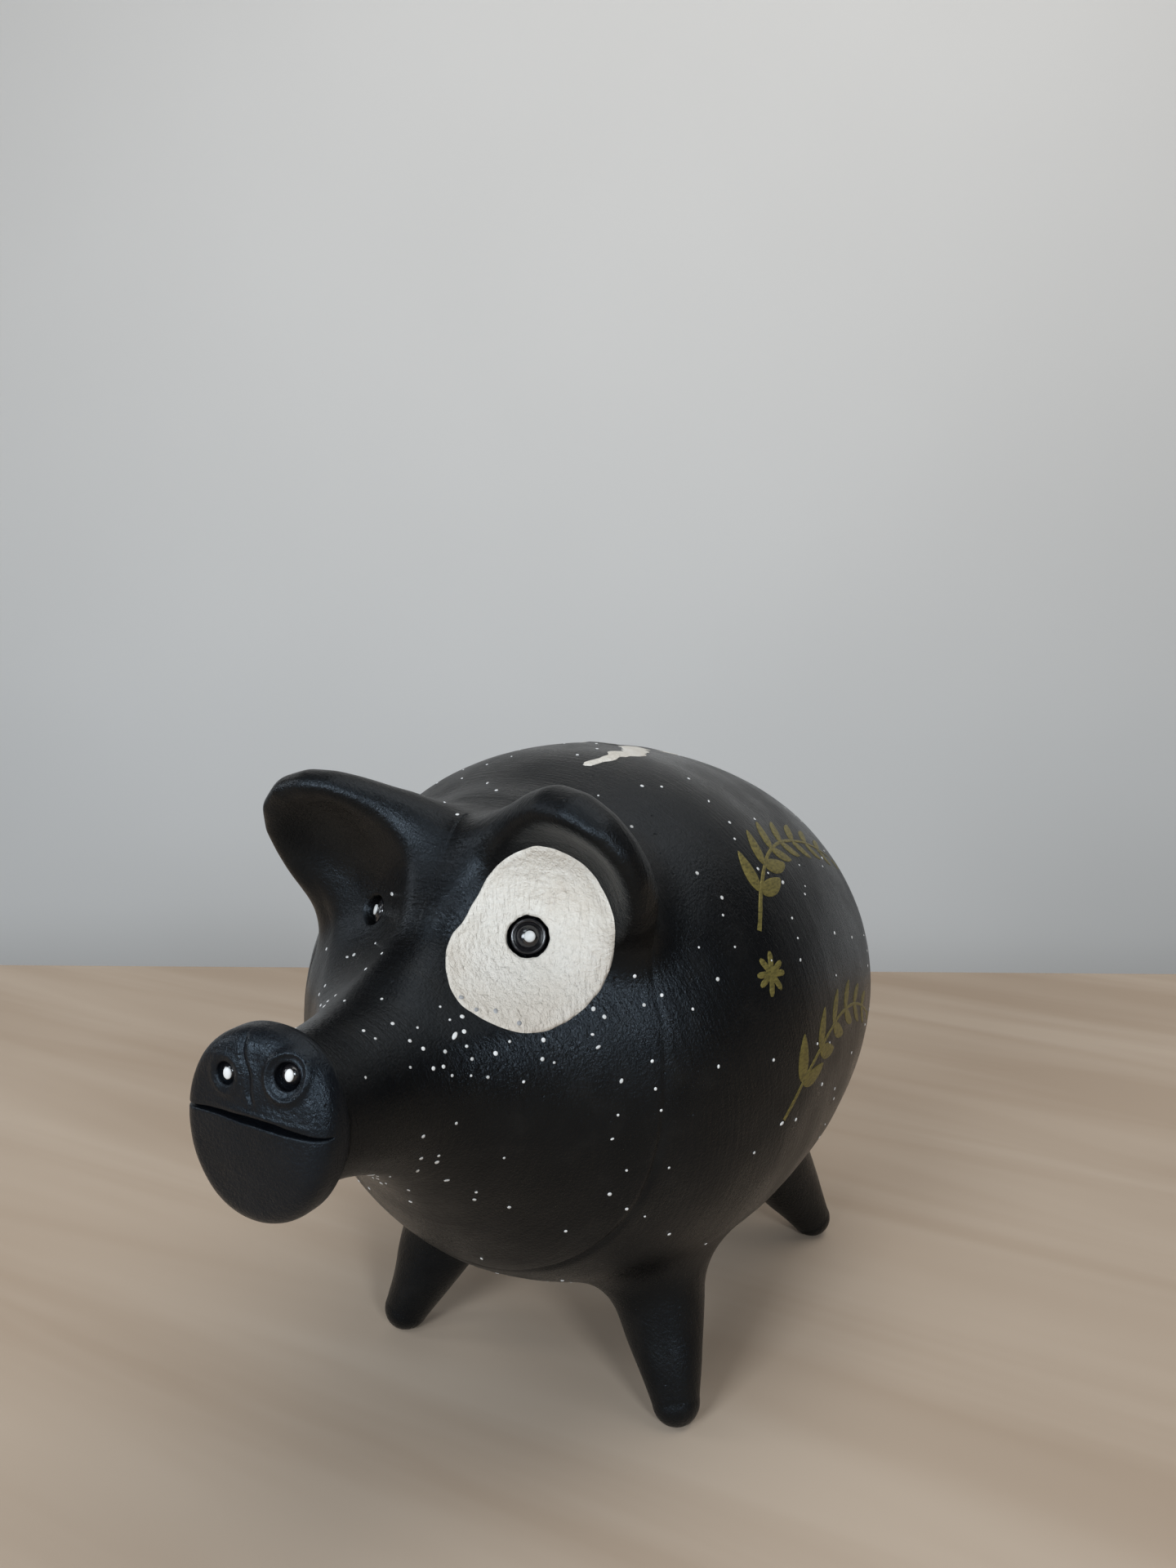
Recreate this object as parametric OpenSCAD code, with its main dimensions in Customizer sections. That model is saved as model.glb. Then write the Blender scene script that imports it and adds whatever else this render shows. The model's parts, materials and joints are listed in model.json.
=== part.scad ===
// Hand-thrown clay piggy bank, painted black.
// A hollow thrown body and head are luted together at the neck, and the snout,
// ears, legs, tail and eyes are separate lumps of clay pressed onto them.
// The pig looks along -Y, +X is its left side, and it stands on z = 0.

/* [Thrown form] */
// Radius of the belly at its widest
belly_r = 66.4; // [64:0.2:68]
// Thickness of the thrown clay wall
wall = 6; // [5:0.5:7]
// Distance from the belly's widest section back to the rump
rump_l = 108; // [105:1:110]
// Height of the throwing axis above the table, at the belly
belly_z = 89.7; // [87:0.1:92]
// Upward tilt of the throwing axis towards the snout, in degrees
axis_tilt = 7; // [6:0.5:8]
// Distance from the belly's widest section forward to the neck joint
neck_reach = 51; // [49:1:53]
// Depth and half width of the groove where head and body are luted together
neck_groove = 1; // [0.6:0.1:1.4]

/* [Snout] */
// Width of the snout disc
snout_w = 32; // [30:0.5:33]
// Height of the snout disc
snout_h = 35.4; // [34:0.2:37]
// Thickness of the snout disc at its middle
snout_t = 8; // [7:0.5:9]
// Distance between the middles of the nostrils
nostril_gap = 12; // [11:0.2:13]
// Radius of a nostril pit
nostril_r = 2.1; // [1.8:0.1:2.4]
// Height of the mouth slit
mouth_gap = 1.2; // [0.8:0.1:1.6]

/* [Eyes] */
// Radius of the pressed eye socket
socket_r = 4; // [3.6:0.1:4.4]
// Radius of the clay pellet inside the socket
pellet_r = 2.6; // [2.2:0.1:2.9]

/* [Ears] */
// Radius of the rim of an ear's cupped hood
ear_r = 20.5; // [19:0.5:22]
// Thickness of the clay at an ear's rim
ear_t = 5; // [4:0.5:6]

/* [Legs] */
// Radius of a leg where it meets the body
leg_root_r = 15.5; // [14:0.5:16]
// Radius of a leg's rounded tip
leg_tip_r = 5.8; // [5:0.1:6.5]
// Radius of the flat that a leg stands on
foot_flat_r = 2.8; // [2:0.1:3.4]

/* [Coin slot] */
// Length of the coin slot along the back
slot_l = 38; // [32:1:42]
// Width of the coin slot
slot_w = 5.6; // [5:0.1:7]

/* [Belly stopper] */
// Radius of the hole in the belly
hole_r = 10.5; // [9:0.5:12]
// Radial clearance around the stopper's plug
plug_clearance = 0.05; // [0.02:0.01:0.1]
// Thickness of the stopper's flange
flange_t = 2.2; // [1.8:0.1:2.8]

/* [Hidden] */
// Facets round a small bore, round a cup's sphere and round the thrown form
$fn = 64;
sphere_fn = 96;
thrown_fn = 180;
// Length of a cut that has to run well past the clay
cut_l = 20;

// The widest section of the belly lies this far in front of the legs' middle
belly_y = -25;
// Outline from the muzzle to the belly: distance along the axis, share of belly_r.
// The last point lies on the rump and only steers the curve's end.
front_form = [
    [-113, 0.205], [-99, 0.215], [-84, 0.28], [-70, 0.43], [-58, 0.60],
    [-47, 0.755], [-34, 0.875], [-17, 0.97], [0, 1], [18, 0.993]
];
front_steps = 4;
// The rump is a blunt egg: (r / belly_r)^rump_blunt + (a / rump_l)^rump_round = 1
rump_blunt = 3;
rump_round = 2.35;
rump_steps = 26;

// Snout: the disc stands upright in front of the muzzle
snout_z = 102.8;
snout_back_y = -134.4;
snout_face_y = snout_back_y - snout_t;
snout_dome_r = 46;
nostril_z = snout_z + 10.4;
mouth_z = snout_z + 0.6;
mouth_depth = 2.4;

// Eyes: where the sockets are pressed into the head
eye_turn = 34.5;
eye_a = -64;
socket_depth = 2.6;
eye_lean = 50;
pellet_foot = 0.9;

// Ears: middle of each rim, the direction that its open side faces, and the cup's depth
ear_mid = [27.5, -81.5, 140];
ear_open = [-0.26, -0.7, -0.66];
ear_depth = 14;
// An ear's wall at the side, and what its back has over that, as shares of ear_t
ear_side = 0.9;
ear_back = 0.4;
// No part of an ear comes nearer to the pig's middle than this
ear_inner_x = 6;

// Legs: middle of each leg at its root and at its tip
front_root = [25, -36, 43];
front_foot = [39, -48.1];
rear_root = [27, 30, 41];
rear_foot = [42.2, 48.1];
tip_z = sqrt(leg_tip_r * leg_tip_r - foot_flat_r * foot_flat_r);
// How much thinner than its rounded tip a leg's roll ends, inside that tip
tip_step = 0.4;

// Tail: a curl of rolled clay pressed flat on the rump
tail_curl_r = 6.4;
tail_roll_r = 2.9;
tail_z = 80;
tail_turn = 300;
tail_start = 200;

// Stopper: a rubber plug with a flange in a flat pressed into the belly
stopper_y = -18;
spot_depth = 2.6;
spot_z = belly_z - belly_r + spot_depth;
flange_over = 3.2;
flange_r = hole_r + flange_over;
spot_gap = 1.2;
spot_r = flange_r + spot_gap;
plug_r = hole_r - plug_clearance;
plug_h = 8.5;
plug_wall = 3;
grip_w = 2;
grip_l = 16;

// Coin slot: middle of the slot along the back
slot_y = 6;

// The whole object, from the snout's face to the tail, is centred on the origin
tail_out = 0.6;
tail_y = belly_y + rump_l * cos(axis_tilt) + tail_out;
rear_y = tail_y + tail_roll_r;
centre_y = -(rear_y + snout_face_y) / 2;

clay_black = [0.07, 0.07, 0.075];
gloss_black = [0.02, 0.02, 0.025];
rubber_grey = [0.16, 0.16, 0.17];

// One point of a Catmull-Rom curve through b and c
function spline(a, b, c, d, t) =
    0.5 * (2 * b + (c - a) * t + (2 * a - 5 * b + 4 * c - d) * t * t
    + (3 * b - a - 3 * c + d) * t * t * t);

// Outline point i of the front, with a mirrored point before the muzzle
function knot(i) =
    i < 0 ? 2 * knot(0) - knot(1) : [front_form[i][1] * belly_r, front_form[i][0]];

// Point on the rump's outline, from 0 at the belly to 1 at the rump
function rump_point(t) =
    let (u = sin(90 * t)) [belly_r * pow(1 - pow(u, rump_round), 1 / rump_blunt), rump_l * u];

outer_curve = [
    for (i = [0 : len(front_form) - 3], s = [0 : front_steps - 1])
        spline(knot(i - 1), knot(i), knot(i + 1), knot(i + 2), s / front_steps),
    for (i = [0 : rump_steps - 1]) rump_point(i / rump_steps),
    [0, rump_l]
];

// Point i of the outline moved inwards by t
function inward(i, t) =
    let (
        here = outer_curve[i],
        along = outer_curve[min(i + 1, last)] - outer_curve[max(i - 1, 0)]
    )
    here + t * [-along[1], along[0]] / norm(along);
last = len(outer_curve) - 1;

// The outline moved inwards by t, from the rump to the muzzle
function moved_in(t) =
    [for (i = [last - 1 : -1 : 0]) if (inward(i, t)[0] > 0.5) inward(i, t)];

module on_axis() {
    translate([0, belly_y, belly_z]) rotate([-90 - axis_tilt, 0, 0]) children();
}

// The thrown form as a solid lump, for cutting what is pressed onto it
module solid_form() {
    on_axis() rotate_extrude($fn = thrown_fn) polygon(concat(outer_curve, [[0, outer_curve[0][1]]]));
}

module thrown_wall() {
    on_axis() rotate_extrude()
        polygon(concat(outer_curve, [[0, rump_l - wall]], moved_in(wall)));
}

// Everything behind the upright plane of the neck joint
module behind_neck() {
    translate([-2 * belly_r, belly_y - neck_reach, -belly_r])
        cube([4 * belly_r, 4 * belly_r, 4 * belly_r]);
}

// A shallow square groove in the clay's surface, round the neck joint
module neck_ring() {
    difference() {
        translate([-2 * belly_r, belly_y - neck_reach - neck_groove, -belly_r])
            cube([4 * belly_r, 2 * neck_groove, 4 * belly_r]);
        on_axis() rotate_extrude()
            polygon(concat([[0, rump_l]], moved_in(neck_groove), [[0, outer_curve[0][1]]]));
    }
}

module coin_slot() {
    translate([0, slot_y, belly_z]) {
        for (end = [-1, 1]) translate([0, end * (slot_l - slot_w) / 2, 0])
            cylinder(h = 2 * belly_r, r = slot_w / 2);
        translate([-slot_w / 2, -(slot_l - slot_w) / 2, 0])
            cube([slot_w, slot_l - slot_w, 2 * belly_r]);
    }
}

module belly_hole() {
    translate([0, stopper_y, 0]) {
        cylinder(h = belly_z, r = hole_r);
        cylinder(h = spot_z, r = spot_r);
    }
}

module body_shell() {
    color(clay_black) difference() {
        intersection() {
            thrown_wall();
            behind_neck();
        }
        neck_ring();
        coin_slot();
        belly_hole();
    }
}

// Axis of the left eye's socket, pointing out of the head
module at_eye(side) {
    on_axis() rotate([0, 0, side * eye_turn])
        translate([0, -lookup(eye_a, [for (p = outer_curve) [p[1], p[0]]]), eye_a])
        rotate([90 + eye_lean, 0, 0]) children();
}

module head_shell() {
    color(clay_black) difference() {
        thrown_wall();
        behind_neck();
        neck_ring();
        translate([-belly_r, snout_back_y - belly_r, 0])
            cube([2 * belly_r, belly_r, 2 * belly_z]);
        for (side = [-1, 1]) at_eye(side)
            translate([0, 0, -socket_depth]) cylinder(h = cut_l, r = socket_r);
    }
}

module eye(side) {
    color(gloss_black) at_eye(side) translate([0, 0, -socket_depth]) {
        cylinder(h = pellet_foot, r = pellet_r);
        translate([0, 0, pellet_foot]) intersection() {
            sphere(r = pellet_r);
            cylinder(h = pellet_r, r = pellet_r);
        }
    }
}

module snout_disc() {
    oval = [for (t = [0 : 6 : 354]) [snout_w / 2 * cos(t), snout_h / 2 * sin(t)]];
    color(clay_black) difference() {
        intersection() {
            translate([0, snout_back_y, snout_z]) rotate([90, 0, 0])
                linear_extrude(height = snout_t) polygon(oval);
            translate([0, snout_face_y + snout_dome_r, snout_z])
                sphere(r = snout_dome_r, $fn = sphere_fn);
        }
        for (side = [-1, 1])
            translate([side * nostril_gap / 2, snout_face_y, nostril_z]) sphere(r = nostril_r);
        translate([-snout_w / 2, snout_face_y - 1, mouth_z])
            cube([snout_w, mouth_depth + 1, mouth_gap]);
    }
}

// Turns +Z to the direction v
module facing(v) {
    rotate([0, acos(v[2] / norm(v)), atan2(v[1], v[0])]) children();
}

// A cupped hood of clay over the left eye, open towards the front
module left_hood() {
    cup_r = (ear_r * ear_r + ear_depth * ear_depth) / (2 * ear_depth);
    open_way = ear_open / norm(ear_open);
    difference() {
        translate(ear_mid) difference() {
            translate(open_way * (cup_r - ear_depth)) sphere(r = cup_r, $fn = sphere_fn);
            translate(open_way * (cup_r - ear_depth + ear_t * ear_back))
                sphere(r = cup_r - ear_t * ear_side, $fn = sphere_fn);
            facing(ear_open) cylinder(h = 3 * ear_r, r = 3 * ear_r);
        }
        solid_form();
        translate([ear_inner_x - 2 * ear_r, -2 * belly_r, 0])
            cube([2 * ear_r, 4 * belly_r, 4 * belly_r]);
    }
}

module ear(side) {
    color(clay_black) mirror([side < 0 ? 1 : 0, 0, 0]) left_hood();
}

// A tapering roll of clay from its root inside the body to its rounded tip
module leg(root, foot, side) {
    tip = [foot[0], foot[1], tip_z];
    run = tip - root;
    color(clay_black) mirror([side < 0 ? 1 : 0, 0, 0]) difference() {
        union() {
            translate(root) facing(run)
                cylinder(h = norm(run), r1 = leg_root_r, r2 = leg_tip_r - tip_step);
            translate(tip) sphere(r = leg_tip_r);
        }
        solid_form();
        translate([-belly_r, -2 * belly_r, -cut_l]) cube([3 * belly_r, 4 * belly_r, cut_l]);
    }
}

module tail() {
    color(clay_black) difference() {
        translate([0, tail_y, tail_z]) rotate([90, tail_start, 0])
            rotate_extrude(angle = tail_turn) translate([tail_curl_r, 0]) circle(r = tail_roll_r);
        solid_form();
    }
}

module belly_stopper() {
    color(rubber_grey) translate([0, stopper_y, spot_z - flange_t]) difference() {
        union() {
            cylinder(h = flange_t, r = flange_r);
            cylinder(h = flange_t + plug_h, r = plug_r);
        }
        translate([0, 0, flange_t]) cylinder(h = cut_l, r = plug_r - plug_wall);
        translate([-grip_l / 2, -grip_w / 2, -cut_l]) cube([grip_l, grip_w, cut_l + flange_t / 2]);
    }
}

translate([0, centre_y, 0]) {
    body_shell();
    head_shell();
    snout_disc();
    ear(1);  // left_ear
    ear(-1);  // right_ear
    leg(front_root, front_foot, 1);  // front_left_leg
    leg(front_root, front_foot, -1);  // front_right_leg
    leg(rear_root, rear_foot, 1);  // rear_left_leg
    leg(rear_root, rear_foot, -1);  // rear_right_leg
    tail();
    eye(1);  // left_eye
    eye(-1);  // right_eye
    belly_stopper();
}
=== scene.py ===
"""Hand-thrown clay piggy bank, painted black, with a cream eye patch and gold sprigs.

Everything of clay is one smooth distance field in millimetres, in the pig's own axes: it looks
along -Y, +X is its left side and it stands on z = 0. The field is meshed and cut along the CAD's
joints into one closed piece a node, so the pieces meet without a step. Paint lies on the field.
"""

import itertools
import json
import math
from functools import reduce

import bpy
import numpy as np
import openvdb as vdb
from mathutils import Matrix, Vector


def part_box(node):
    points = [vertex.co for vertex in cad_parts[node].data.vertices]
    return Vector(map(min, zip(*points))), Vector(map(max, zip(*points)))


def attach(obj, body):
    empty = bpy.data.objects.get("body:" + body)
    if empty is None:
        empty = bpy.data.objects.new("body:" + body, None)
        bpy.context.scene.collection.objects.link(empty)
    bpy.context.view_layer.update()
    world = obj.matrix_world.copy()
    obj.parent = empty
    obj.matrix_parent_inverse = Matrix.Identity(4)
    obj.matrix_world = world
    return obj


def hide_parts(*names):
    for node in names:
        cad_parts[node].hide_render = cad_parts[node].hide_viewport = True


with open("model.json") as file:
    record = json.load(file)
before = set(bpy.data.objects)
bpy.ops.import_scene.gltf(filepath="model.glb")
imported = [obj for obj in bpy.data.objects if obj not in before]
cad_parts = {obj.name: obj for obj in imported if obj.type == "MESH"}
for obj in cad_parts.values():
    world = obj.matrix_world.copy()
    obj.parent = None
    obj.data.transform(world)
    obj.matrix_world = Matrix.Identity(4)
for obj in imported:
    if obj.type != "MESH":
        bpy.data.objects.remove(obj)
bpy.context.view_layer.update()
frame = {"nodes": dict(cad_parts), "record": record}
record = frame["record"]
rng = np.random.default_rng(20)

# ---- places, from the CAD
MM = 1000.0
snout_low, snout_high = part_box("snout_disc")
# Where the snout's front is in the pig's own millimetres; the record's frame is SHIFT further back
FACE_Y = -142.4
SHIFT = snout_low.y * MM - FACE_Y


def pig_mm(point):
    """A point of the row frame in metres, in the pig's own millimetres."""
    return np.array([point[0] * MM, point[1] * MM - SHIFT, point[2] * MM])


def middle(node):
    low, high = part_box(node)
    return pig_mm((low + high) / 2)


def unit(v):
    v = np.array(v, float)
    return v / np.linalg.norm(v)


BODY_LOW, BODY_HIGH = (pig_mm(p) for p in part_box("body_shell"))
NECK_Y = BODY_LOW[1]
BELLY_R = (BODY_HIGH[0] - BODY_LOW[0]) / 2
# The thrown form's widest place, the fall of its axis towards the rump, its wall and its back half
BELLY_Y, BELLY_Z = NECK_Y + 51.0, 89.7
TILT = math.radians(7.0)
WALL, RUMP_L = 6.0, 108.0
MUZZLE_Y = pig_mm(snout_high)[1]
SNOUT_Z = (snout_low.z + snout_high.z) / 2 * MM
SNOUT_W = (snout_high.x - snout_low.x) / 2 * MM
SNOUT_H = (snout_high.z - snout_low.z) / 2 * MM
FRONT_FOOT, REAR_FOOT = (
    pig_mm(next(m["pos_m"] for m in record["mounts"] if m["name"] == name))
    for name in ("front_left_foot", "rear_left_foot")
)
TAIL = middle("tail")
STOPPER_LOW, STOPPER_HIGH = (pig_mm(p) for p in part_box("belly_stopper"))
STOPPER_Y = (STOPPER_LOW[1] + STOPPER_HIGH[1]) / 2
FLANGE_R = (STOPPER_HIGH[0] - STOPPER_LOW[0]) / 2
HOLE_R = FLANGE_R - 3.2
SPOT_Z = STOPPER_LOW[2] + 2.2
slot_box = next(o["box_m"] for o in record["physics"]["openings"] if o["name"] == "coin_slot")
SLOT_Y = (slot_box[0][1] + slot_box[1][1]) / 2 * MM - SHIFT
SLOT_HALF, SLOT_R = 16.2, 2.8
EYE = np.array([19.1, -82.9, 124.9])
EYE_OUT = unit((0.45, -0.84, 0.30))
# Each eye's middle, the way it looks and its size; 1 is the left side and -1 the right
EYES = {1: (EYE, EYE_OUT, 1.0),
        -1: (np.array([-19.5, -81.9, 124.9]), unit((-0.74, -0.61, 0.28)), 0.76)}

# ---- distance field of the clay
# Places along the axis in front of the belly, and the radius there as a share of the belly's
FRONT_FORM = [
    (-113, 0.205), (-99, 0.215), (-84, 0.28), (-70, 0.43), (-58, 0.60),
    (-47, 0.755), (-34, 0.875), (-17, 0.97), (0, 1), (18, 0.993),
]
# The grid that the outline's distance is tabled on: step, first and last place along, last radius
STEP, FIRST_A, LAST_A, LAST_R = 0.5, -130.0, 125, 92


def all_round(n):
    """n angles that divide the full turn."""
    return np.arange(n) * 2 * math.pi / n


def catmull(points, n):
    """A Catmull-Rom curve through the points, n steps a span."""
    p = np.array(points, float)
    out = []
    for i in range(len(p) - 1):
        a, b, c, d = p[max(i - 1, 0)], p[i], p[i + 1], p[min(i + 2, len(p) - 1)]
        for k in range(n):
            t = k / n
            out.append(0.5 * (2 * b + (c - a) * t + (2 * a - 5 * b + 4 * c - d) * t * t
                              + (3 * b - a - 3 * c + d) * t ** 3))
    out.append(p[-1])
    return np.array(out)


def outline():
    """The thrown form's outline, from the muzzle to the rump: along the axis, radius."""
    front = catmull([(a, s * BELLY_R) for a, s in FRONT_FORM], 8)
    front = front[:-9]  # the last span only steers the one before it
    u = np.sin(np.linspace(0, math.pi / 2, 60))
    rump = np.stack([RUMP_L * u, BELLY_R * (1 - u ** 2.35) ** (1 / 3)], 1)
    return np.concatenate([[[-113, 0.0]], front, rump])


OUTLINE = outline()


def outline_table():
    """Signed distance to the outline on a grid of (along the axis, radius)."""
    aa, rr = np.meshgrid(np.arange(FIRST_A, LAST_A, STEP), np.arange(0, LAST_R, STEP),
                         indexing="ij")
    best = np.full(aa.shape, 1e9)
    for (x0, y0), (x1, y1) in zip(OUTLINE[:-1], OUTLINE[1:]):
        dx, dy = x1 - x0, y1 - y0
        h = np.clip(((aa - x0) * dx + (rr - y0) * dy) / (dx * dx + dy * dy + 1e-12), 0, 1)
        best = np.minimum(best, np.hypot(aa - x0 - h * dx, rr - y0 - h * dy))
    r = np.interp(aa, OUTLINE[:, 0], OUTLINE[:, 1], left=-1, right=-1)
    return np.where(rr < r, -best, best)


TABLE = outline_table()


def on_axis(x, y, z):
    """Distance back along the throwing axis, and height over it."""
    dy, dz = y - BELLY_Y, z - BELLY_Z
    return (dy * math.cos(TILT) - dz * math.sin(TILT),
            dy * math.sin(TILT) + dz * math.cos(TILT))


def off_axis(a, angle, r):
    """The point at a along the axis, turned by angle (radians) from the top to the left, at r."""
    v = r * np.cos(angle)
    return np.stack([r * np.sin(angle),
                     BELLY_Y + a * math.cos(TILT) + v * math.sin(TILT),
                     BELLY_Z - a * math.sin(TILT) + v * math.cos(TILT)], -1)


def thrown(x, y, z):
    a, v = on_axis(x, y, z)
    fa = np.clip((a - FIRST_A) / STEP, 0, TABLE.shape[0] - 1.01)
    fr = np.clip(np.sqrt(x * x + v * v) / STEP, 0, TABLE.shape[1] - 1.01)
    i, j = fa.astype(np.int32), fr.astype(np.int32)
    fa, fr = fa - i, fr - j
    return ((TABLE[i, j] * (1 - fr) + TABLE[i, j + 1] * fr) * (1 - fa)
            + (TABLE[i + 1, j] * (1 - fr) + TABLE[i + 1, j + 1] * fr) * fa)


def smin(a, b, k):
    h = np.clip(0.5 + 0.5 * (b - a) / k, 0, 1)
    return b + (a - b) * h - k * h * (1 - h)


def smax(a, b, k):
    return -smin(-a, -b, k)


def ball(x, y, z, c, r):
    return np.sqrt((x - c[0]) ** 2 + (y - c[1]) ** 2 + (z - c[2]) ** 2) - r


def egg(x, y, z, c, r):
    """Near enough the distance to an ellipsoid."""
    px, py, pz = (x - c[0]) / r[0], (y - c[1]) / r[1], (z - c[2]) / r[2]
    k = np.sqrt(px * px + py * py + pz * pz)
    return k * (k - 1) / (np.sqrt((px / r[0]) ** 2 + (py / r[1]) ** 2 + (pz / r[2]) ** 2) + 1e-9)


def roll(x, y, z, a, b, ra, rb):
    """A tapering roll of clay from a to b."""
    a, b = np.array(a, float), np.array(b, float)
    run = b - a
    px, py, pz = x - a[0], y - a[1], z - a[2]
    h = np.clip((px * run[0] + py * run[1] + pz * run[2]) / (run @ run), 0, 1)
    off = np.sqrt((px - h * run[0]) ** 2 + (py - h * run[1]) ** 2 + (pz - h * run[2]) ** 2)
    return off - (ra + (rb - ra) * h)


CELLS = 32
LATTICE = np.random.default_rng(7).uniform(-1, 1, (CELLS, CELLS, CELLS))


def lumps(x, y, z, size):
    """Smooth noise between about -1 and 1, with lumps of that size."""
    def cell(q):
        q = q / size + 100.37  # keeps the middle plane off the lattice's corners
        i = np.floor(q).astype(np.int32)
        f = q - i
        return i % CELLS, (i + 1) % CELLS, f * f * f * (f * (f * 6 - 15) + 10)

    def plane(i):
        return ((LATTICE[i, y0, z0] * (1 - w) + LATTICE[i, y0, z1] * w) * (1 - v)
                + (LATTICE[i, y1, z0] * (1 - w) + LATTICE[i, y1, z1] * w) * v)

    (x0, x1, u), (y0, y1, v), (z0, z1, w) = cell(x), cell(y), cell(z)
    return plane(x0) * (1 - u) + plane(x1) * u


def ring_lumps(turns, r, size, at=0):
    """Lumps round a circle of radius r, so that they close on themselves."""
    return lumps(r * np.cos(turns), r * np.sin(turns), at + 0 * turns, size)


def flat_lumps(u, v, size, at=0):
    return lumps(u, v, at + 0 * u, size)


# Middle line and radius of each ear's rolled rim, from the nose bridge over the tip to the cheek,
# with x outwards from the middle; the two ears were pinched a little differently
EAR_RIMS = {
    1: [
        (5.5, -86, 128, 4.2), (7, -80.5, 136, 5.2), (10.5, -78, 140.6, 5.6),
        (15.5, -79.5, 144.6, 5.5), (21.5, -83, 148.9, 5.2), (28, -86, 151.2, 5.6),
        (33.2, -87.3, 149.6, 6.1), (36.8, -86.6, 146.4, 6.2), (39.2, -84.6, 142, 6.2),
        (40.4, -81.6, 137, 5.8), (39.8, -78.0, 132.3, 5.2), (37.4, -73.8, 127.3, 4.7),
        (33.3, -69.5, 121.5, 4.1), (28.5, -65.5, 115, 3.6),
    ],
    -1: [
        (5.5, -86, 128, 4.2), (7, -80.5, 136, 5.2), (10.5, -78, 141.5, 5.6),
        (15, -79, 145, 5.3), (20.5, -82, 148.0, 5.0), (28.5, -86, 150.2, 5.1),
        (35.0, -87.3, 149.8, 5.2), (39.4, -86.6, 147.2, 5.2), (41.9, -84.6, 143.6, 5.2),
        (42.4, -81.6, 139, 5.2), (41.8, -78.5, 133.8, 5.1), (40.6, -75.2, 128.3, 4.9),
        (38.2, -71.8, 121.5, 4.6), (33, -68.5, 114, 4),
    ],
}
EAR_ROOT, EAR_ROOT_R = (24, -68, 128), 13
# Rolls of clay on the face: ends and radii; then each ear's hollow: its middle and radii
BRIDGE = ((6, -62, 134), (4, -97, 113.5), 13, 7)
BROW = ((0, -70.5, 139.0), (14, -76, 140.6), 6.8, 6.1)
HOLLOWS = {1: ((28.0, -105, 132.0), (22.4, 25.5, 20.8)),
           -1: ((28.5, -105, 132.5), (23.5, 25.5, 22))}


def even_curve(points, n):
    """n points at even steps along a smooth curve; each starts with its place, three numbers."""
    c = catmull(points, 6)
    d = np.r_[0, np.cumsum(np.linalg.norm(np.diff(c[:, :3], axis=0), axis=1))]
    t = np.linspace(0, d[-1], n)
    return np.stack([np.interp(t, d, c[:, k]) for k in range(c.shape[1])], 1)


RIMS = {side: even_curve(points, 20) for side, points in EAR_RIMS.items()}


def hood(x, y, z, side):
    """An ear's lobe: the rolled rim, and clay from the rim back to its root in the head."""
    points = RIMS[side]
    rim = reduce(np.minimum, (roll(x, y, z, a[:3], b[:3], a[3], b[3])
                              for a, b in zip(points[:-1], points[1:])))
    web = reduce(lambda f, d: smin(f, d, 2.5),
                 (roll(x, y, z, a[:3], EAR_ROOT, a[3] - 0.4, EAR_ROOT_R) for a in points))
    return smin(rim, web, 2.0)


def part_of(f, where, change, x, y, z):
    """f with change() made to it only at the points where it matters."""
    i = np.nonzero(where)[0]
    if len(i):
        f[i] = change(f[i], x[i], y[i], z[i])
    return f


def with_legs(f, x, y, z):
    """Four tapering legs with flat tips."""
    top_r, tip_r, tip_z = 15.5, 5.8, 5.08
    front, rear = (roll(np.abs(x), y, z, hip, (foot[0], foot[1], tip_z), top_r, tip_r)
                   for hip, foot in (((25, -36, 43), FRONT_FOOT), ((27, 30, 41), REAR_FOOT)))
    f = smin(f, np.minimum(front, rear) + 0.25 * lumps(x, y, z, 9), 9.0)
    return smax(f, -z, 1.0)


def with_head(f, x, y, z):
    """The nose bridge, the brow and the ears with their hollows."""
    ax = np.sqrt(x * x + 26.0)  # |x|, without its crease in the middle
    f = smin(smin(f, roll(ax, y, z, *BRIDGE), 8.0), roll(ax, y, z, *BROW), 6.0)
    for side in (1, -1):
        i = np.nonzero((x >= 0) == (side > 0))[0]
        if len(i):
            at = ax[i], y[i], z[i]
            f[i] = smax(smin(f[i], hood(*at, side), 8.0), -egg(*at, *HOLLOWS[side]), 4.0)
    return f


def with_sockets(f, x, y, z):
    """A round stamped hole under each eye."""
    for at, out, size in EYES.values():
        p = x - at[0], y - at[1], z - at[2]
        d = p[0] * out[0] + p[1] * out[1] + p[2] * out[2]
        r = np.sqrt(np.maximum(p[0] ** 2 + p[1] ** 2 + p[2] ** 2 - d * d, 0))
        f = smax(f, -np.maximum(r - 4.05 * size - 0.12 * lumps(x, y, z, 2.5), -d - 2.4), 0.7)
    return f


def with_slot(f, x, y, z):
    """The coin slot, with a soft lip that its cutting left."""
    past_end = np.maximum(np.abs(y - SLOT_Y) - SLOT_HALF, 0)
    d = np.hypot(past_end, x) - SLOT_R - 0.25 * lumps(x, y, z, 6)
    f = f - 0.35 * np.exp(-((d - 1.4) / 1.5) ** 2)
    return smax(f, -d, 1.6)


def with_belly_spot(f, x, y, z):
    """The flat recess for the stopper's flange."""
    r = np.hypot(x, y - STOPPER_Y)
    return smax(f, -np.maximum(r - FLANGE_R - 1.2, z - SPOT_Z), 0.7)


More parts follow.
